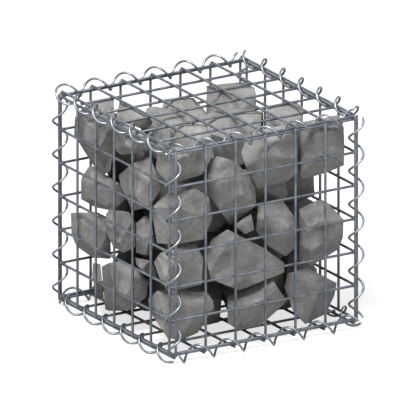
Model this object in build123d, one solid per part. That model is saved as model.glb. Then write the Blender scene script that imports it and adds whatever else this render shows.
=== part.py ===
from build123d import *
import math
import os

# A gabion basket: six panels of welded wire mesh, laced together along their
# twelve edges by spiral binders, and filled with broken stone.
# +Z is up, the front panel faces -Y, and the origin is on the ground under
# the middle of the basket. All lengths are in millimetres.

# Mesh panels
mesh = 50.0                  # spacing of the wires in a panel
cells_wide = 6               # meshes along X
cells_deep = 6               # meshes along Y
cells_high = 6               # meshes along Z
wire = 3.8                   # diameter of the mesh wire
wire_stub = 4.0              # how far a wire runs on past the outermost crossing
panel_gap = 0.25             # air between the edge wires of two neighbouring panels
bar_sides = 8                # flats on a straight wire

# Spiral binders
coil_wire = 3.4              # diameter of the spring wire
coil_outside = 24.4          # outside diameter of a spiral
coil_sides = 6               # flats on the spring wire
coil_steps = 10              # straight runs in one turn

# Stone filling
seat = 0.3                   # air between any two pieces that bear on each other
stone_short_right = 10.0     # how far the filling stops short of the right panel
stone_short_back = 12.0      # how far the filling stops short of the back panel
front_layer = 52.0           # depth of the stones packed behind the front panel
left_layer = 60.0            # depth of the stones packed behind the left panel
lid_layer = 65.0             # depth of the stones laid last, under the lid
slant_turn = 31.5            # the packed stones lie aslant, this far round from the front
slant_rise = 18.5            # and this far up from level

half_wide = cells_wide * mesh / 2
half_deep = cells_deep * mesh / 2
half_high = cells_high * mesh / 2

# Each panel has its crossing wires in two layers. The edge wires of two panels
# lie side by side, so the inner layer stands this far outside the edge wires.
inner_layer = (wire + panel_gap) / math.sqrt(2)
outer_layer = inner_layer + wire
inner_face = inner_layer - wire / 2

coil_radius = (coil_outside - coil_wire) / 2
# Free radius inside a spiral, at the middle of its straight runs.
coil_bore = coil_radius * math.cos(math.pi / coil_steps) - coil_wire / 2 / math.cos(math.pi / coil_sides)


def bar(start, end):
    """One straight wire with its flats square to the panel."""
    start, end = Vector(*start), Vector(*end)
    section = Plane(start, z_dir=end - start) * RegularPolygon(
        wire / 2, bar_sides, major_radius=False, rotation=180 / bar_sides
    )
    return extrude(section, (end - start).length)


def spaced(cells):
    """Places of the wires across a panel, from one edge to the other."""
    return [(i - cells / 2) * mesh for i in range(cells + 1)]


def front_uprights(side):
    y = side * (half_deep + outer_layer)
    reach = half_high + wire_stub
    return [bar((x, y, -reach), (x, y, reach)) for x in spaced(cells_wide)]


def front_rails(side):
    y = side * (half_deep + inner_layer)
    reach = half_wide + outer_layer - wire / 2 - seat
    return [bar((-reach, y, z), (reach, y, z)) for z in spaced(cells_high)]


def side_panel_uprights(side):
    x = side * (half_wide + outer_layer)
    reach = half_high + wire_stub
    return [bar((x, y, -reach), (x, y, reach)) for y in spaced(cells_deep)]


def side_panel_rails(side):
    x = side * (half_wide + inner_layer)
    reach = half_deep + inner_face - seat
    return [bar((x, -reach, z), (x, reach, z)) for z in spaced(cells_high)]


def level_long_wires(side):
    z = side * (half_high + outer_layer)
    reach = half_deep + wire_stub
    return [bar((x, -reach, z), (x, reach, z)) for x in spaced(cells_wide)]


def level_cross_wires(side):
    z = side * (half_high + inner_layer)
    reach = half_wide + inner_face - seat
    return [bar((-reach, y, z), (reach, y, z)) for y in spaced(cells_deep)]


def coil_line(cells, start_angle):
    """Corners of the spring wire's centre line, one turn to a mesh, about +Z."""
    steps = cells * coil_steps
    line = []
    for step in range(steps + 1):
        turn = math.radians(start_angle) + 2 * math.pi * step / coil_steps
        height = cells * mesh * (step / steps - 0.5)
        line.append(Vector(coil_radius * math.cos(turn), coil_radius * math.sin(turn), height))
    return line


def coil(centre, frame, cells, start_angle):
    """A right-handed spiral about a line through centre: straight runs, mitred where they meet."""
    line = coil_line(cells, start_angle)
    runs = [(b - a).normalized() for a, b in zip(line, line[1:])]
    mitres = [runs[0]] + [(a + b).normalized() for a, b in zip(runs, runs[1:])] + [runs[-1]]
    start = Plane(line[0], x_dir=line[0] - Vector(0, 0, line[0].Z), z_dir=runs[0])
    reach = coil_wire / 2 / math.cos(math.pi / coil_sides)
    turns = [2 * math.pi * (j + 0.5) / coil_sides for j in range(coil_sides)]
    corners = [start.from_local_coords(Vector(reach * math.cos(t), reach * math.sin(t), 0)) for t in turns]
    rings = [corners]
    for run, mitre, corner in zip(runs, mitres[1:], line[1:]):
        rings.append([p + run * ((corner - p).dot(mitre) / run.dot(mitre)) for p in rings[-1]])
    faces = [Face(Wire.make_polygon(rings[0])), Face(Wire.make_polygon(rings[-1]))]
    for near, far in zip(rings, rings[1:]):
        for j in range(coil_sides):
            k = (j + 1) % coil_sides
            faces.append(Face(Wire.make_polygon([near[j], near[k], far[k], far[j]])))
    return Pos(centre) * frame.location * Solid(Shell(faces))


# A spiral bears from inside on a wire that it holds, so its axis runs this far from that wire.
coil_reach = coil_bore - seat - wire / 2
# Standing spirals hold the outermost uprights of two panels.
upright_span = outer_layer / math.sqrt(2)
corner_mid = outer_layer / 2
corner_shift = (coil_reach - upright_span) / math.sqrt(2)

UP = Plane((0, 0, 0), x_dir=(1, 0, 0), z_dir=(0, 0, 1))
ALONG_X = Plane((0, 0, 0), x_dir=(0, 1, 0), z_dir=(1, 0, 0))
ALONG_Y = Plane((0, 0, 0), x_dir=(0, 0, 1), z_dir=(0, 1, 0))

# Each spiral's edge of the basket, as right, back and up, and the turn that it starts at.
# The level ones also have the angle, up from level, at which they lean on their wire.
STANDING = {
    "front_right_spiral": (1, -1, -6),
    "front_left_spiral": (-1, -1, 131),
    "back_left_spiral": (-1, 1, 55),
    "back_right_spiral": (1, 1, 306),
}
LEVEL = {
    "lid_front_spiral": (0, -1, 1, 20, 78),
    "lid_back_spiral": (0, 1, 1, 20, 29),
    "lid_left_spiral": (-1, 0, 1, -10, -26),
    "lid_right_spiral": (1, 0, 1, -10, -9),
    "base_front_spiral": (0, -1, -1, 0, 162),
    "base_back_spiral": (0, 1, -1, 0, -70),
    "base_left_spiral": (-1, 0, -1, 35, 150),
    "base_right_spiral": (1, 0, -1, 35, 123),
}


def standing_axis(right, back):
    """Middle of a standing spiral: between the uprights that it holds."""
    x = right * (half_wide + corner_mid) + corner_shift
    y = back * (half_deep + corner_mid) - right * back * corner_shift
    return Vector(x, y, 0)


def level_axis(right, back, up, lean):
    """Middle of a level spiral: it bears on the outermost wire of the lid or base."""
    out = coil_reach * math.cos(math.radians(lean))
    layer = inner_layer if back else outer_layer
    z = up * (half_high + layer) + coil_reach * math.sin(math.radians(lean))
    return Vector(right * (half_wide + out), back * (half_deep + out), z)


def coil_nodes():
    nodes = {}
    for name, (right, back, start) in STANDING.items():
        nodes[name] = coil(standing_axis(right, back), UP, cells_high, start)
    for name, (right, back, up, lean, start) in LEVEL.items():
        frame, cells = (ALONG_X, cells_wide) if back else (ALONG_Y, cells_deep)
        nodes[name] = coil(level_axis(right, back, up, lean), frame, cells, start)
    return nodes


fill_left = -(half_wide + inner_face - seat)
fill_right = half_wide + inner_face - seat - stone_short_right
fill_front = -(half_deep + inner_face - seat)
fill_back = half_deep + inner_face - seat - stone_short_back
fill_high = half_high + inner_face - seat
core_left = fill_left + left_layer
core_front = fill_front + front_layer
core_top = fill_high - lid_layer

# Panels that stones are packed against: along it, up it and out of it.
FACES = {
    "front": (Vector(1, 0, 0), Vector(0, 0, 1), Vector(0, -1, 0)),
    "left": (Vector(0, 1, 0), Vector(0, 0, 1), Vector(-1, 0, 0)),
    "lid": (Vector(1, 0, 0), Vector(0, 1, 0), Vector(0, 0, 1)),
}
slant_across = math.cos(math.radians(slant_rise))
SLANT = Vector(
    -slant_across * math.sin(math.radians(slant_turn)),
    -slant_across * math.cos(math.radians(slant_turn)),
    math.sin(math.radians(slant_rise)),
)

# The stones that show at a panel. Each has the outline that it shows there, in
# meshes from the panel's left or front end and bottom, and the faces broken off
# it: the way each one looks round the panel, how steeply it falls away, both in
# degrees, and how far out from the stone's middle it starts, in meshes.
PACKED = [
    ("stones_top_front", "corner",
     [(-0.6, 5.65), (-0.55, 6.05), (0.1, 6.2), (1.3, 5.95), (1.25, 5.6), (0.95, 5.2), (-0.15, 5.08)],
     [(270, 54, 0.3), (180, 42, 0.1), (0, 28, 0.6)]),
    ("stones_top_front", "front",
     [(2.5, 4.95), (2.2, 5.75), (2.45, 6.2), (4.12, 6.25), (4.16, 4.7), (3.8, 4.5), (2.8, 4.45)],
     [(200, 36, 0.45), (270, 24, 0.25), (270, 58, 0.7), (350, 30, 0.75)]),
    ("stones_top_front", "front",
     [(4.2, 6.2), (5.74, 6.2), (5.7, 4.65), (5.05, 4.52), (4.25, 4.46)],
     [(270, 26, 0.3), (185, 24, 0.45), (95, 22, 0.5)]),
    ("stones_upper_front", "corner",
     [(-0.75, 4.5), (-0.2, 4.85), (0.75, 4.82), (1.18, 4.5), (1.3, 3.8), (1.0, 3.25), (0.1, 3.26),
      (-0.56, 3.4)],
     [(345, 28, 0.45), (180, 38, 0.15), (270, 32, 0.45), (95, 36, 0.45)]),
    ("stones_upper_front", "front",
     [(1.05, 4.75), (1.25, 5.5), (1.45, 5.68), (2.1, 5.4), (2.72, 4.55), (2.76, 3.95), (1.9, 3.5)],
     [(15, 34, 0.3), (262, 38, 0.35), (150, 20, 0.2)]),
    ("stones_upper_front", "front",
     [(2.0, 3.5), (2.6, 3.75), (2.7, 3.25), (2.4, 3.15)],
     [(270, 42, 0.1), (0, 30, 0.1)]),
    ("stones_lower_front", "corner",
     [(-0.66, 2.85), (-0.45, 3.1), (0.75, 3.18), (1.0, 2.7), (0.95, 1.9), (0.1, 1.88), (-0.4, 2.15)],
     [(180, 40, 0.1), (5, 26, 0.35), (270, 44, 0.4)]),
    ("stones_lower_front", "front",
     [(1.05, 2.75), (1.25, 3.2), (1.8, 3.42), (3.05, 2.62), (3.7, 2.08), (3.72, 1.78), (2.2, 1.5),
      (1.25, 2.0)],
     [(15, 20, 0.0), (205, 14, 0.25), (75, 34, 0.3), (265, 30, 0.35)]),
    ("stones_lower_front", "front",
     [(2.8, 4.0), (3.65, 3.97), (4.1, 3.3), (4.05, 2.45), (3.75, 2.25), (3.15, 2.68), (2.75, 3.2)],
     [(255, 40, 0.1), (20, 22, 0.3), (150, 24, 0.35)]),
    ("stones_lower_front", "front",
     [(4.2, 3.6), (4.85, 3.78), (5.1, 3.68), (5.85, 2.85), (5.5, 2.15), (4.6, 1.82), (4.2, 2.1)],
     [(345, 30, 0.7), (268, 36, 0.45), (160, 30, 0.25), (55, 22, 0.25)]),
    ("stones_bottom_front", "corner",
     [(-0.85, 1.78), (-0.55, 1.98), (1.1, 1.66), (1.55, 1.05), (1.5, 0.65), (0.3, 0.35), (-0.2, 0.5),
      (-0.8, 1.4)],
     [(300, 36, 0.25), (180, 45, 0.0), (92, 32, 0.35), (225, 46, 0.5)]),
    ("stones_bottom_front", "front",
     [(1.8, 1.42), (3.3, 1.66), (3.8, 0.9), (2.9, 0.33), (2.2, 0.3), (1.8, 0.6)],
     [(295, 36, 0.2), (95, 32, 0.25), (200, 22, 0.5)]),
    ("stones_bottom_front", "front",
     [(3.7, 1.35), (3.8, 1.75), (4.5, 1.78), (5.55, 1.1), (5.1, 0.3), (4.4, 0.1), (4.0, 0.55)],
     [(328, 31, 0.25), (185, 32, 0.3), (65, 24, 0.25)]),
    ("stones_top_left", "left",
     [(5.7, 5.2), (5.1, 5.8), (4.55, 6.3), (3.2, 6.75), (3.2, 5.2), (3.4, 4.5), (3.75, 4.3), (4.15, 4.3)],
     [(275, 28, 0.5), (10, 14, 0.6), (185, 30, 0.5)]),
    ("stones_top_left", "left",
     [(3.18, 6.1), (1.6, 6.2), (1.1, 5.9), (1.35, 5.7), (2.8, 5.15), (3.18, 5.2)],
     [(265, 34, 0.2), (10, 14, 0.4)]),
    ("stones_top_left", "left",
     [(2.95, 4.5), (2.25, 5.05), (1.25, 5.58), (0.6, 4.8), (1.25, 4.05), (2.2, 3.65), (2.85, 4.2)],
     [(10, 15, 0.3), (265, 31, 0.4), (130, 26, 0.3)]),
    ("stones_top_left", "left",
     [(2.9, 6.75), (3.15, 6.15), (1.7, 6.25), (1.0, 6.6), (1.6, 6.9)],
     []),
    ("stones_upper_left", "left",
     [(5.0, 3.85), (4.65, 4.35), (3.2, 4.05), (3.05, 3.85), (3.5, 3.45), (3.8, 3.2), (4.45, 3.12),
      (5.0, 3.2)],
     [(5, 14, 0.3), (270, 28, 0.2), (180, 42, 0.3), (90, 30, 0.3)]),
    ("stones_upper_left", "left",
     [(2.0, 3.34), (1.6, 3.66), (1.24, 3.8), (0.95, 3.0), (1.3, 2.55), (2.0, 2.45)],
     [(10, 14, 0.3), (260, 31, 0.3)]),
    ("stones_lower_left", "left",
     [(5.7, 2.6), (4.3, 3.02), (3.66, 3.0), (3.66, 1.8), (4.5, 1.58), (5.3, 1.7), (5.6, 2.05)],
     [(262, 30, 0.3), (85, 26, 0.4), (175, 24, 0.35), (350, 14, 0.7)]),
    ("stones_lower_left", "left",
     [(3.65, 3.15), (3.45, 3.36), (2.4, 3.56), (2.02, 3.33), (2.06, 2.6), (2.7, 2.25), (3.25, 2.27),
      (3.65, 2.6)],
     [(175, 26, 0.2), (270, 30, 0.4), (0, 14, 0.4)]),
    ("stones_lower_left", "left",
     [(2.05, 2.3), (1.2, 2.44), (0.9, 2.22), (0.9, 1.97), (1.3, 1.94), (2.0, 2.1)],
     []),
    ("stones_bottom_left", "left",
     [(3.68, 0.22), (3.88, 1.5), (3.5, 1.72), (2.9, 1.95), (2.0, 1.96), (0.92, 1.75), (1.44, 1.3),
      (1.55, 0.87)],
     [(0, 14, 0.6), (262, 30, 0.4), (180, 28, 0.2), (88, 34, 0.5)]),
    ("stones_bottom_left", "left",
     [(4.35, 1.48), (3.95, 1.55), (3.75, 0.55), (4.15, 0.48), (4.4, 1.1)],
     [(0, 14, 0.0)]),
    ("stones_top_middle", "lid",
     [(1.3, 1.3), (1.6, 1.1), (2.05, 1.08), (2.08, 1.75), (2.0, 2.3), (1.3, 2.3)],
     [(280, 22, 0.3), (60, 12, 0.1)]),
    ("stones_top_middle", "lid",
     [(2.15, 1.08), (3.5, 1.08), (3.95, 1.65), (4.55, 2.5), (4.6, 2.78), (2.5, 2.78), (2.12, 2.35)],
     [(285, 18, 0.4), (20, 12, 0.2), (140, 14, 0.4)]),
    ("stones_top_middle", "lid",
     [(1.3, 2.4), (2.05, 2.4), (2.4, 2.85), (2.12, 3.6), (1.95, 4.0), (1.3, 3.9)],
     [(270, 20, 0.2), (30, 16, 0.2)]),
    ("stones_top_middle", "lid",
     [(2.5, 2.9), (3.2, 3.0), (3.3, 3.8), (3.05, 4.7), (2.6, 4.65), (2.05, 4.1), (2.2, 3.5)],
     [(280, 26, 0.1), (200, 30, 0.3), (70, 12, 0.2)]),
    ("stones_top_right", "lid",
     [(3.75, 1.08), (5.0, 1.08), (5.3, 1.6), (5.4, 2.1), (5.15, 2.5), (4.72, 2.55)],
     [(265, 22, 0.3), (100, 12, 0.2)]),
    ("stones_top_right", "lid",
     [(3.45, 3.05), (3.95, 2.9), (4.78, 3.2), (5.06, 3.8), (5.4, 4.75), (5.38, 5.15), (4.15, 4.95),
      (3.4, 3.8)],
     [(275, 24, 0.3), (190, 26, 0.5), (60, 10, 0.1)]),
]

# Stones of the core, in rows of three each way, by their node.
CORE = {
    "middle": [(0, 0), (1, 0), (0, 1), (1, 1)],
    "right": [(2, 0), (2, 1)],
    "back": [(0, 2), (1, 2), (2, 2)],
}
LEVELS = ["bottom", "lower", "upper"]
core_size = 0.88             # mean radius of a core stone, against half its share of the room
core_stray = 0.16            # how far a core stone lies off its row, against its share


def box_between(low, high):
    """A block from one corner to the other."""
    size = high - low
    middle = (high + low) * 0.5
    return Pos(*middle) * Box(size.X, size.Y, size.Z)


def broken_off(block, place, normal):
    """The block without what lies beyond a plane."""
    return split(block, bisect_by=Plane(place, z_dir=normal), keep=Keep.BOTTOM)


def clear_of_spirals(block):
    """The block cut back along the basket's edges, where the spirals reach inside."""
    axes = [(Vector(right, back, 0), standing_axis(right, back)) for right, back, _ in STANDING.values()]
    for right, back, up, lean, _ in LEVEL.values():
        axes.append((Vector(right, back, up), level_axis(right, back, up, lean)))
    for edge, axis in axes:
        edge = edge.normalized()
        block = broken_off(block, axis - edge * (coil_outside / 2 + seat), edge)
    return block


def on_face(face, across, up):
    """A point of a packed stone's outline, where the filling ends at that panel."""
    if face == "lid":
        return Vector(across * mesh - half_wide, up * mesh - half_deep, fill_high)
    if face == "left":
        return Vector(fill_left, across * mesh - half_deep, up * mesh - half_high)
    return Vector(across * mesh - half_wide, fill_front, up * mesh - half_high)


filling = clear_of_spirals(
    box_between(Vector(fill_left, fill_front, -fill_high), Vector(fill_right, fill_back, fill_high))
)


def packed_stone(face, outline, broken):
    """A stone that shows: its outline carried inward, and faces broken off where it shows."""
    along, upward, outward = FACES["front" if face == "corner" else face]
    carried = outward if face == "lid" else SLANT
    block = filling
    points = [on_face(face, *point) for point in outline]
    middle = sum(points, Vector(0, 0, 0)) * (1 / len(points))
    for here, there in zip(points, points[1:] + points[:1]):
        normal = (there - here).cross(carried).normalized()
        if normal.dot(here - middle) < 0:
            normal = -normal
        block = broken_off(block, here, normal)
    inner_end = Vector(core_left, core_front, core_top)
    inward = Vector(1, 1, 0).normalized() if face == "corner" else -outward
    block = broken_off(block, inner_end - inward * (seat / 2), inward)
    for toward, lean, start in broken:
        look = along * math.cos(math.radians(toward)) + upward * math.sin(math.radians(toward))
        normal = look * math.sin(math.radians(lean)) + outward * math.cos(math.radians(lean))
        block = broken_off(block, middle + look * (start * mesh), normal)
    return block


core_low = Vector(core_left + seat / 2, core_front + seat / 2, -fill_high)
core_high = Vector(fill_right, fill_back, core_top - seat / 2)
core = clear_of_spirals(box_between(core_low, core_high))
share = (core_high - core_low) * (1 / 3)


def core_centre(i, j, k):
    """Middle of the core stone in column i, row j and level k."""
    number = 9 * k + 3 * j + i
    stray = [core_stray * math.sin(2.1 * number + 2.4 * axis) for axis in range(3)]
    return core_low + Vector(
        (i + 0.5 + stray[0]) * share.X, (j + 0.5 + stray[1]) * share.Y, (k + 0.5 + stray[2]) * share.Z
    )


def chips(number):
    """Directions of the broken faces of one stone, spread evenly and turned by its number."""
    faces = []
    count = 10
    for i in range(count):
        height = 1 - 2 * (i + 0.5) / count
        turn = i * math.pi * (3 - math.sqrt(5)) + 1.7 * number
        flat = math.sqrt(1 - height * height)
        faces.append(Vector(flat * math.cos(turn), flat * math.sin(turn), height))
    return faces


def core_stone(i, j, k):
    """A stone of the core: it bears on its neighbours, and its corners are broken off."""
    number = 9 * k + 3 * j + i
    centre = core_centre(i, j, k)
    size = core_size * (share.X + share.Y + share.Z) / 6
    block = core
    for di, dj, dk in [(a, b, c) for a in (-1, 0, 1) for b in (-1, 0, 1) for c in (-1, 0, 1)]:
        near = (i + di, j + dj, k + dk)
        if near == (i, j, k) or min(near) < 0 or max(near) > 2:
            continue
        away = core_centre(*near) - centre
        block = broken_off(block, centre + away * 0.5 - away.normalized() * (seat / 2), away)
    for n, normal in enumerate(chips(number)):
        depth = size * (1.22 + 0.18 * math.sin(2.3 * n + 1.9 * number))
        block = broken_off(block, centre + normal * depth, normal)
    return block


def stone_nodes():
    nodes = {}
    for name, face, outline, broken in PACKED:
        nodes.setdefault(name, []).append(packed_stone(face, outline, broken))
    for k, level in enumerate(LEVELS):
        for part, columns in CORE.items():
            stones = [core_stone(i, j, k) for i, j in columns]
            nodes.setdefault(f"stones_{level}_{part}", []).extend(stones)
    return nodes


def panel_nodes():
    return {
        "front_uprights": front_uprights(-1),
        "front_rails": front_rails(-1),
        "back_uprights": front_uprights(1),
        "back_rails": front_rails(1),
        "left_uprights": side_panel_uprights(-1),
        "left_rails": side_panel_rails(-1),
        "right_uprights": side_panel_uprights(1),
        "right_rails": side_panel_rails(1),
        "lid_long_wires": level_long_wires(1),
        "lid_cross_wires": level_cross_wires(1),
        "base_long_wires": level_long_wires(-1),
        "base_cross_wires": level_cross_wires(-1),
    }


spirals = coil_nodes()
ground = min(spiral.bounding_box().min.Z for spiral in spirals.values())


def save(name, solids):
    placed = [Pos(0, 0, -ground) * solid for solid in solids]
    shape = placed[0] if len(placed) == 1 else Compound(children=placed)
    export_step(shape, f"parts/{name}.step")


os.makedirs("parts", exist_ok=True)
for name, wires in panel_nodes().items():
    save(name, wires)
for name, spiral in spirals.items():
    save(name, [spiral])
for name, stones in stone_nodes().items():
    save(name, stones)
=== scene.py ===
import math
import random

import bmesh
import bpy
from mathutils import Matrix, Vector, noise


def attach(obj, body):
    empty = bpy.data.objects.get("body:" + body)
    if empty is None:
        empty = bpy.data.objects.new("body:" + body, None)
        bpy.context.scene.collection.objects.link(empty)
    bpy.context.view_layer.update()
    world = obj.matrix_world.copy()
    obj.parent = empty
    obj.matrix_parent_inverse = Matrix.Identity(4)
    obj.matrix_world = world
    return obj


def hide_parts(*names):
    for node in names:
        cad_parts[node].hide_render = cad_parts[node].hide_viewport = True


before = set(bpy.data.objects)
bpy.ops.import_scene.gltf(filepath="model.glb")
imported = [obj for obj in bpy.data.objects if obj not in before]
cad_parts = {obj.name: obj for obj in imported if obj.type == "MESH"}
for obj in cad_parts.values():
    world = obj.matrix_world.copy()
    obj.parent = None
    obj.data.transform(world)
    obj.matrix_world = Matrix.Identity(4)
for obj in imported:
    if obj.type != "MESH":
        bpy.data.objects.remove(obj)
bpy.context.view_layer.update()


# The view and the room: the basket stands on a pale floor in soft daylight from
# above and from the front, seen square on from far away, so nothing tapers.
scene = bpy.context.scene
scene.view_settings.view_transform = "Standard"

view_turn = math.radians(31.53)
view_rise = math.radians(18.5)
view_width = 0.5923
view_distance = 3.0
view_target = Vector((0.0, 0.0, 0.165))

to_camera = Vector((
    -math.sin(view_turn) * math.cos(view_rise),
    -math.cos(view_turn) * math.cos(view_rise),
    math.sin(view_rise),
))
view_right = Vector((math.cos(view_turn), -math.sin(view_turn), 0.0))
view_up = to_camera.cross(view_right)
camera_data = bpy.data.cameras.new("camera")
camera_data.type = "ORTHO"
camera_data.ortho_scale = view_width
camera_data.clip_end = 20.0
camera = bpy.data.objects.new("camera", camera_data)
camera.location = view_target + to_camera * view_distance
camera.rotation_euler = (-to_camera).to_track_quat("-Z", "Y").to_euler()
scene.collection.objects.link(camera)
scene.camera = camera


def node_tree(material):
    """The material's empty node tree and its output node."""
    material.use_nodes = True
    tree = material.node_tree
    tree.nodes.clear()
    output = tree.nodes.new("ShaderNodeOutputMaterial")
    return tree, output


def background_shader(tree, seen_strength, light_strength):
    """White where a ray from the eye or off a shiny surface meets it, and dimmer as a light."""
    path = tree.nodes.new("ShaderNodeLightPath")
    direct = tree.nodes.new("ShaderNodeMath")
    direct.operation = "MAXIMUM"
    tree.links.new(path.outputs["Is Camera Ray"], direct.inputs[0])
    tree.links.new(path.outputs["Is Glossy Ray"], direct.inputs[1])
    either = tree.nodes.new("ShaderNodeMath")
    either.operation = "MAXIMUM"
    tree.links.new(direct.outputs[0], either.inputs[0])
    tree.links.new(path.outputs["Is Transmission Ray"], either.inputs[1])
    seen = tree.nodes.new("ShaderNodeBackground")
    seen.inputs["Color"].default_value = (1, 1, 1, 1)
    seen.inputs["Strength"].default_value = seen_strength
    light = tree.nodes.new("ShaderNodeBackground")
    light.inputs["Color"].default_value = (0.97, 0.985, 1, 1)
    light.inputs["Strength"].default_value = light_strength
    mix = tree.nodes.new("ShaderNodeMixShader")
    tree.links.new(either.outputs[0], mix.inputs[0])
    tree.links.new(light.outputs[0], mix.inputs[1])
    tree.links.new(seen.outputs[0], mix.inputs[2])
    return mix


world = bpy.data.worlds.new("daylight")
scene.world = world
world.use_nodes = True
world.node_tree.nodes.clear()
world_output = world.node_tree.nodes.new("ShaderNodeOutputWorld")
world_mix = background_shader(world.node_tree, 1.0, 0.27)
world.node_tree.links.new(world_mix.outputs[0], world_output.inputs["Surface"])

floor_size = 6.0
floor_mesh = bmesh.new()
bmesh.ops.create_grid(floor_mesh, x_segments=1, y_segments=1, size=floor_size / 2)
floor_data = bpy.data.meshes.new("floor")
floor_mesh.to_mesh(floor_data)
floor_mesh.free()
floor = bpy.data.objects.new("floor", floor_data)
scene.collection.objects.link(floor)
floor_finish = bpy.data.materials.new("pale_floor")
floor_tree, floor_output = node_tree(floor_finish)
floor_diffuse = floor_tree.nodes.new("ShaderNodeBsdfDiffuse")
floor_diffuse.inputs["Color"].default_value = (0.6, 0.6, 0.6, 1)
floor_glow = floor_tree.nodes.new("ShaderNodeEmission")
floor_glow.inputs["Color"].default_value = (1, 1, 1, 1)
floor_glow.inputs["Strength"].default_value = 0.72
floor_path = floor_tree.nodes.new("ShaderNodeLightPath")
floor_glow_mix = floor_tree.nodes.new("ShaderNodeMixShader")
floor_none = floor_tree.nodes.new("ShaderNodeEmission")
floor_none.inputs["Strength"].default_value = 0.0
floor_add = floor_tree.nodes.new("ShaderNodeAddShader")
floor_tree.links.new(floor_path.outputs["Is Camera Ray"], floor_glow_mix.inputs[0])
floor_tree.links.new(floor_none.outputs[0], floor_glow_mix.inputs[1])
floor_tree.links.new(floor_glow.outputs[0], floor_glow_mix.inputs[2])
floor_tree.links.new(floor_diffuse.outputs[0], floor_add.inputs[0])
floor_tree.links.new(floor_glow_mix.outputs[0], floor_add.inputs[1])
floor_tree.links.new(floor_add.outputs[0], floor_output.inputs["Surface"])
floor_data.materials.append(floor_finish)


def soft_lamp(name, place, size, power):
    """A square lamp at place that faces the middle of the basket."""
    data = bpy.data.lights.new(name, "AREA")
    data.shape = "SQUARE"
    data.size = size
    data.energy = power
    lamp = bpy.data.objects.new(name, data)
    lamp.location = place
    lamp.rotation_euler = (view_target - Vector(place)).to_track_quat("-Z", "Y").to_euler()
    scene.collection.objects.link(lamp)
    return lamp


soft_lamp("top_light", (-0.9, -0.75, 2.0), 0.8, 62.0)
soft_lamp("front_light", (0.4, -2.0, 1.1), 0.9, 5.0)


# Finishes. One shader group gives every material its cloudy patches and its fine
# lumps, fixed to the object, and each material takes them at its own scale.
def mottle_group():
    """Cloudy patches as a mask, a finer grain as a second mask, and lumps as a normal."""
    group = bpy.data.node_groups.new("mottle", "ShaderNodeTree")
    for name, kind, value in (
        ("Patch Scale", "NodeSocketFloat", 60.0), ("Grain Scale", "NodeSocketFloat", 400.0),
        ("Grain Stretch", "NodeSocketVector", (1.0, 1.0, 1.0)), ("Lump Depth", "NodeSocketFloat", 0.0005),
    ):
        group.interface.new_socket(name, in_out="INPUT", socket_type=kind).default_value = value
    for name, kind in (("Patches", "NodeSocketFloat"), ("Grain", "NodeSocketFloat"), ("Normal", "NodeSocketVector")):
        group.interface.new_socket(name, in_out="OUTPUT", socket_type=kind)
    given = group.nodes.new("NodeGroupInput")
    result = group.nodes.new("NodeGroupOutput")
    place = group.nodes.new("ShaderNodeTexCoord")
    patches = group.nodes.new("ShaderNodeTexNoise")
    patches.inputs["Detail"].default_value = 4.0
    stretch = group.nodes.new("ShaderNodeVectorMath")
    stretch.operation = "MULTIPLY"
    bend = group.nodes.new("ShaderNodeVectorMath")
    bend.operation = "MULTIPLY_ADD"
    bend.inputs[1].default_value = (0.02, 0.02, 0.02)
    grain = group.nodes.new("ShaderNodeTexNoise")
    grain.inputs["Detail"].default_value = 6.0
    bump = group.nodes.new("ShaderNodeBump")
    link = group.links.new
    link(place.outputs["Object"], patches.inputs["Vector"])
    link(given.outputs["Patch Scale"], patches.inputs["Scale"])
    link(patches.outputs["Color"], bend.inputs[0])
    link(place.outputs["Object"], bend.inputs[2])
    link(bend.outputs["Vector"], stretch.inputs[0])
    link(given.outputs["Grain Stretch"], stretch.inputs[1])
    link(stretch.outputs["Vector"], grain.inputs["Vector"])
    link(given.outputs["Grain Scale"], grain.inputs["Scale"])
    link(given.outputs["Lump Depth"], bump.inputs["Distance"])
    link(grain.outputs["Fac"], bump.inputs["Height"])
    link(patches.outputs["Fac"], result.inputs["Patches"])
    link(grain.outputs["Fac"], result.inputs["Grain"])
    link(bump.outputs["Normal"], result.inputs["Normal"])
    return group


mottle = mottle_group()


def mottled(tree, patch_scale, grain_scale, stretch, depth):
    """The mottle group placed in a material with its own values."""
    node = tree.nodes.new("ShaderNodeGroup")
    node.node_tree = mottle
    node.inputs["Patch Scale"].default_value = patch_scale
    node.inputs["Grain Scale"].default_value = grain_scale
    node.inputs["Grain Stretch"].default_value = stretch
    node.inputs["Lump Depth"].default_value = depth
    return node


def ramp(tree, source, low, dark, high, light):
    """Colours from dark at low to light at high, led by a mask."""
    colour = tree.nodes.new("ShaderNodeValToRGB")
    colour.color_ramp.elements[0].position = low
    colour.color_ramp.elements[0].color = (*dark, 1)
    colour.color_ramp.elements[1].position = high
    colour.color_ramp.elements[1].color = (*light, 1)
    tree.links.new(source, colour.inputs["Fac"])
    return colour


def zinc_finish(name, dull, bright, roughness):
    """Hot-dipped zinc: a bluish grey metal with paler and duller patches and small lumps."""
    material = bpy.data.materials.new(name)
    tree, output = node_tree(material)
    metal = tree.nodes.new("ShaderNodeBsdfPrincipled")
    metal.inputs["Metallic"].default_value = 0.85
    skin = mottled(tree, 90.0, 700.0, (1.0, 1.0, 1.0), 0.00012)
    colour = ramp(tree, skin.outputs["Patches"], 0.35, dull, 0.68, bright)
    rough = tree.nodes.new("ShaderNodeMapRange")
    rough.inputs["To Min"].default_value = roughness - 0.07
    rough.inputs["To Max"].default_value = roughness + 0.12
    tree.links.new(colour.outputs["Color"], metal.inputs["Base Color"])
    tree.links.new(skin.outputs["Patches"], rough.inputs["Value"])
    tree.links.new(rough.outputs["Result"], metal.inputs["Roughness"])
    tree.links.new(skin.outputs["Normal"], metal.inputs["Normal"])
    tree.links.new(metal.outputs["BSDF"], output.inputs["Surface"])
    return material


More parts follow.
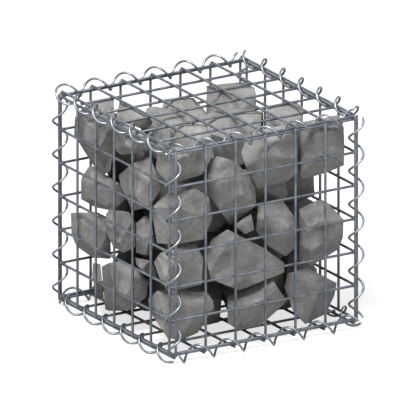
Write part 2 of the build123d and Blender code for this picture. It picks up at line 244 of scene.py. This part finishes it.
mesh_zinc = zinc_finish("mesh_zinc", (0.145, 0.162, 0.190), (0.25, 0.272, 0.31), 0.40)
spiral_zinc = zinc_finish("spiral_zinc", (0.20, 0.217, 0.243), (0.32, 0.34, 0.37), 0.34)


def merged_copy(node):
    """A copy of a frame node's mesh with its corners joined."""
    shape = bmesh.new()
    shape.from_mesh(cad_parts[node].data)
    bmesh.ops.remove_doubles(shape, verts=shape.verts, dist=0.00001)
    return shape


def islands(shape):
    """The vertices of each separate solid in a merged mesh."""
    left = set(shape.verts)
    groups = []
    while left:
        group = {left.pop()}
        edge_of_group = list(group)
        while edge_of_group:
            vert = edge_of_group.pop()
            for edge in vert.link_edges:
                other = edge.other_vert(vert)
                if other in left:
                    left.remove(other)
                    group.add(other)
                    edge_of_group.append(other)
        groups.append(list(group))
    return groups


def span(verts):
    """Lowest and highest corner of some vertices."""
    low = Vector([min(v.co[i] for v in verts) for i in range(3)])
    high = Vector([max(v.co[i] for v in verts) for i in range(3)])
    return low, high


def finished_piece(name, shape, material, node):
    """Makes the mesh a piece that stands for a frame node."""
    data = bpy.data.meshes.new(name)
    shape.to_mesh(data)
    shape.free()
    data.materials.append(material)
    piece = bpy.data.objects.new(name, data)
    scene.collection.objects.link(piece)
    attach(piece, "root")
    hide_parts(node)
    return piece


# Mesh panels: straight drawn steel wires in two layers, welded where they cross
# and dipped in zinc. Six panels, two layers each, in the places the frame gives.
wire_sides = 14
cut_bevel = 0.0005


def round_wire(shape, low, high):
    """A straight round wire that fills the box of one bar, with its cut ends dressed."""
    size = high - low
    way = max(range(3), key=lambda i: size[i])
    radius = min(size) / 2
    axis = Vector((0, 0, 0))
    axis[way] = 1
    turn = Vector((0, 0, 1)).rotation_difference(axis).to_matrix().to_4x4()
    made = bmesh.ops.create_cone(
        shape, cap_ends=True, segments=wire_sides, radius1=radius, radius2=radius,
        depth=size[way], matrix=Matrix.Translation((low + high) / 2) @ turn,
    )
    rims = [e for e in {e for v in made["verts"] for e in v.link_edges} if abs(e.calc_face_angle(0)) > 1.2]
    bmesh.ops.bevel(
        shape, geom=rims, offset=cut_bevel, segments=2, profile=0.5, affect="EDGES", material=-1,
    )
    return way, radius


def wire_boxes(node):
    """The box of each bar in a layer of a panel."""
    bars = merged_copy(node)
    boxes = [span(group) for group in islands(bars)]
    bars.free()
    return boxes


def weld_beads(shape, boxes, crossing_boxes):
    """A low bead of molten steel at each place where two wires cross."""
    for low, high in boxes:
        for other_low, other_high in crossing_boxes:
            middle = Vector()
            flat = Vector((bead_radius, bead_radius, bead_radius))
            for i in range(3):
                start, end = max(low[i], other_low[i]), min(high[i], other_high[i])
                middle[i] = (start + end) / 2
                if end - start < (high[i] - low[i]) * 0.5 and end - start < (other_high[i] - other_low[i]) * 0.5:
                    flat[i] = bead_height
            bmesh.ops.create_uvsphere(
                shape, u_segments=8, v_segments=6, radius=1.0,
                matrix=Matrix.Translation(middle) @ Matrix.Diagonal((*flat, 1.0)),
            )


bead_radius = 0.0026
bead_height = 0.0015
panel_layers = {
    "front": ("uprights", "rails"), "back": ("uprights", "rails"),
    "left": ("uprights", "rails"), "right": ("uprights", "rails"),
    "lid": ("long_wires", "cross_wires"), "base": ("long_wires", "cross_wires"),
}
for panel, layers in panel_layers.items():
    boxes = [wire_boxes(f"{panel}_{layer}") for layer in layers]
    for number, layer in enumerate(layers):
        shape = bmesh.new()
        for low, high in boxes[number]:
            round_wire(shape, low, high)
        for face in shape.faces:
            face.smooth = len(face.verts) == 4
        if number == 1:
            before = set(shape.faces)
            weld_beads(shape, boxes[1], boxes[0])
            for face in shape.faces:
                if face not in before:
                    face.smooth = True
        finished_piece(f"{panel}_{layer}_wire", shape, mesh_zinc, f"{panel}_{layer}")


# Spiral binders: hard drawn spring wire wound into an open coil, one turn to a
# mesh, screwed in along each edge round the outermost wires of two panels.
spring_sides = 12
steps_a_turn = 36
spiral_inset = 0.985


def spiral_lines(node):
    """Way, axis, first point, radius, length and wire radius of a coil, read off its frame node."""
    coil = merged_copy(node)
    low, high = span(coil.verts)
    way = max(range(3), key=lambda i: (high - low)[i])
    along = sorted(coil.verts, key=lambda v: v.co[way])
    ring = 6
    first = sum((v.co for v in along[:ring]), Vector()) / ring
    last = sum((v.co for v in along[-ring:]), Vector()) / ring
    axis = sum((v.co for v in along[:-ring]), Vector()) / (len(along) - ring)
    wire = max((v.co - first).length for v in along[:ring])
    coil.free()
    return way, axis, first, last, wire * math.cos(math.pi / ring)


for node in sorted(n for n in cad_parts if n.endswith("_spiral")):
    way, axis, first, last, wire = spiral_lines(node)
    length = last[way] - first[way]
    pitch = 0.05
    turns = round(length / pitch)
    direction = Vector((0, 0, 0))
    direction[way] = 1
    centre = Vector(axis)
    centre[way] = first[way]
    out = (first - centre) * spiral_inset
    around = direction.cross(out).normalized()
    ahead = (around * 2 * math.pi * out.length + direction * length / turns).normalized()
    shape = bmesh.new()
    turn = Vector((0, 0, 1)).rotation_difference(ahead).to_matrix().to_4x4()
    ring = bmesh.ops.create_circle(
        shape, cap_ends=False, segments=spring_sides, radius=wire, matrix=Matrix.Translation(centre + out) @ turn,
    )
    start = list(shape.edges)
    steps = steps_a_turn * turns
    bmesh.ops.spin(
        shape, geom=start + ring["verts"], cent=centre, axis=direction, dvec=direction * length / steps,
        angle=2 * math.pi * turns, steps=steps, use_merge=False, use_duplicate=False,
    )
    open_edges = [e for e in shape.edges if len(e.link_faces) == 1]
    bmesh.ops.holes_fill(shape, edges=open_edges, sides=0)
    bmesh.ops.recalc_face_normals(shape, faces=shape.faces)
    rims = [e for e in shape.edges if any(len(f.verts) > 4 for f in e.link_faces)]
    bmesh.ops.bevel(
        shape, geom=rims, offset=cut_bevel, segments=2, profile=0.5, affect="EDGES", material=-1,
    )
    for face in shape.faces:
        face.smooth = len(face.verts) == 4
    finished_piece(f"{node}_wire", shape, spiral_zinc, node)


# Stone filling: broken grey quarry stone, packed by hand. Each stone has flat
# broken faces with crisp edges, and a lighter skin with fine strokes in it.
def leaning_normal(tree, normal):
    """The normal leant a little another way in each of many cells, as small flat breaks."""
    place = tree.nodes.new("ShaderNodeTexCoord")
    cells = tree.nodes.new("ShaderNodeTexVoronoi")
    cells.inputs["Scale"].default_value = 1 / break_size
    lean = tree.nodes.new("ShaderNodeVectorMath")
    lean.operation = "SUBTRACT"
    lean.inputs[1].default_value = (0.5, 0.5, 0.5)
    leant = tree.nodes.new("ShaderNodeVectorMath")
    leant.operation = "MULTIPLY_ADD"
    leant.inputs[1].default_value = (break_lean, break_lean, break_lean)
    whole = tree.nodes.new("ShaderNodeVectorMath")
    whole.operation = "NORMALIZE"
    tree.links.new(place.outputs["Object"], cells.inputs["Vector"])
    tree.links.new(cells.outputs["Color"], lean.inputs[0])
    tree.links.new(lean.outputs["Vector"], leant.inputs[0])
    tree.links.new(normal, leant.inputs[2])
    tree.links.new(leant.outputs["Vector"], whole.inputs[0])
    return whole.outputs["Vector"]


break_size = 0.034
break_lean = 0.3


def stone_finish():
    """Warm grey stone with darker clouds, fine strokes and a rough broken skin."""
    material = bpy.data.materials.new("quarry_stone")
    tree, output = node_tree(material)
    surface = tree.nodes.new("ShaderNodeBsdfPrincipled")
    surface.inputs["Roughness"].default_value = 0.88
    surface.inputs["Specular IOR Level"].default_value = 0.25
    skin = mottled(tree, 26.0, 170.0, (1.0, 1.0, 1.8), 0.0005)
    blend = tree.nodes.new("ShaderNodeMix")
    blend.data_type = "FLOAT"
    blend.inputs["Factor"].default_value = 0.42
    tree.links.new(skin.outputs["Patches"], blend.inputs["A"])
    tree.links.new(skin.outputs["Grain"], blend.inputs["B"])
    colour = ramp(tree, blend.outputs["Result"], 0.34, (0.17, 0.169, 0.164), 0.66, (0.34, 0.337, 0.327))
    tree.links.new(colour.outputs["Color"], surface.inputs["Base Color"])
    tree.links.new(leaning_normal(tree, skin.outputs["Normal"]), surface.inputs["Normal"])
    tree.links.new(surface.outputs["BSDF"], output.inputs["Surface"])
    return material


quarry_stone = stone_finish()
edge_wear = 0.0010
skin_grid = 0.0075
crisp_angle = math.radians(17)
front_breaks = 6
front_lean = (30, 57)
front_share = (0.18, 0.42)
back_breaks = 5
back_lean = (20, 60)
back_share = (0.06, 0.22)
skin_inset = 0.0003
skin_waves = ((0.020, 0.0006), (0.008, 0.0003))


def broken_at(stone, way, share):
    """Breaks a flat face off a stone across the given way, if what is left is closed again."""
    middle = sum((v.co for v in stone.verts), Vector()) / len(stone.verts)
    reach = max(way.dot(v.co - middle) for v in stone.verts)
    rest = stone.copy()
    bmesh.ops.bisect_plane(
        rest, geom=list(rest.verts) + list(rest.edges) + list(rest.faces),
        plane_co=middle + way * reach * (1 - share), plane_no=way, clear_outer=True,
    )
    bmesh.ops.holes_fill(rest, edges=[e for e in rest.edges if e.is_boundary], sides=0)
    kept, dropped = (rest, stone) if rest.faces and all(e.is_manifold for e in rest.edges) else (stone, rest)
    dropped.free()
    return kept


def broken_all_round(stone, chance):
    """Breaks a ring of flat faces off the seen side of a stone and another off its back."""
    for side, breaks, leans, shares in (
        (to_camera, front_breaks, front_lean, front_share), (-to_camera, back_breaks, back_lean, back_share),
    ):
        for number in range(breaks):
            turn = 2 * math.pi * (number + chance.uniform(-0.35, 0.35)) / breaks
            lean = math.radians(chance.uniform(*leans))
            across = view_right * math.cos(turn) + view_up * math.sin(turn)
            stone = broken_at(stone, side * math.cos(lean) + across * math.sin(lean), chance.uniform(*shares))
    return stone


wider_stones = {"stones_upper_left": ((-0.13, 0.10), 1.38), "stones_lower_left": ((-0.13, 0.12), 1.14)}


def widened(stone, node):
    """Stretches a stone at the far left of its node across the view, to meet its neighbours."""
    (side, back), times = wider_stones.get(node, ((0.0, 0.0), 1.0))
    middle = sum((v.co for v in stone.verts), Vector()) / len(stone.verts)
    if node not in wider_stones or middle.x > side + 0.05 or middle.y < back - 0.05:
        return
    left = min(view_right.dot(v.co) for v in stone.verts)
    for vert in stone.verts:
        vert.co += view_right * (view_right.dot(vert.co) - left) * (times - 1)


def skin_depth(place):
    """How far the worn skin lies under the flat face at a place."""
    wave = sum(depth * noise.noise(place / size) for size, depth in skin_waves)
    return min(0.0, wave - skin_inset)


def single_stones(node):
    """Each stone of a node as a mesh of its own."""
    heap = merged_copy(node)
    bmesh.ops.dissolve_limit(heap, angle_limit=math.radians(2), verts=heap.verts, edges=heap.edges)
    for group in islands(heap):
        stone = bmesh.new()
        new = {v: stone.verts.new(v.co) for v in group}
        for face in {f for v in group for f in v.link_faces}:
            stone.faces.new([new[v] for v in face.verts])
        yield stone
    heap.free()


for node in sorted(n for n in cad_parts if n.startswith("stones_")):
    data = bpy.data.meshes.new(f"{node}_stones")
    shape = bmesh.new()
    chance = random.Random(node)
    for stone in single_stones(node):
        widened(stone, node)
        stone = broken_all_round(stone, chance)
        bmesh.ops.bevel(
            stone, geom=list(stone.edges), offset=edge_wear, segments=2, profile=0.6,
            affect="EDGES", clamp_overlap=True, material=-1,
        )
        stone.to_mesh(data)
        stone.free()
        shape.from_mesh(data)
    bpy.data.meshes.remove(data)
    bmesh.ops.triangulate(shape, faces=shape.faces)
    for halving in range(4):
        long_edges = [e for e in shape.edges if e.calc_length() > skin_grid]
        bmesh.ops.subdivide_edges(shape, edges=long_edges, cuts=1)
        bmesh.ops.triangulate(shape, faces=[f for f in shape.faces if len(f.verts) > 3])
    bmesh.ops.recalc_face_normals(shape, faces=shape.faces)
    shape.normal_update()
    moved = [vert.normal * skin_depth(vert.co) for vert in shape.verts]
    for vert, move in zip(shape.verts, moved):
        vert.co += move
    shape.normal_update()
    for face in shape.faces:
        face.smooth = True
    for edge in shape.edges:
        edge.smooth = edge.calc_face_angle(0.0) < crisp_angle
    finished_piece(f"{node}_broken", shape, quarry_stone, node)
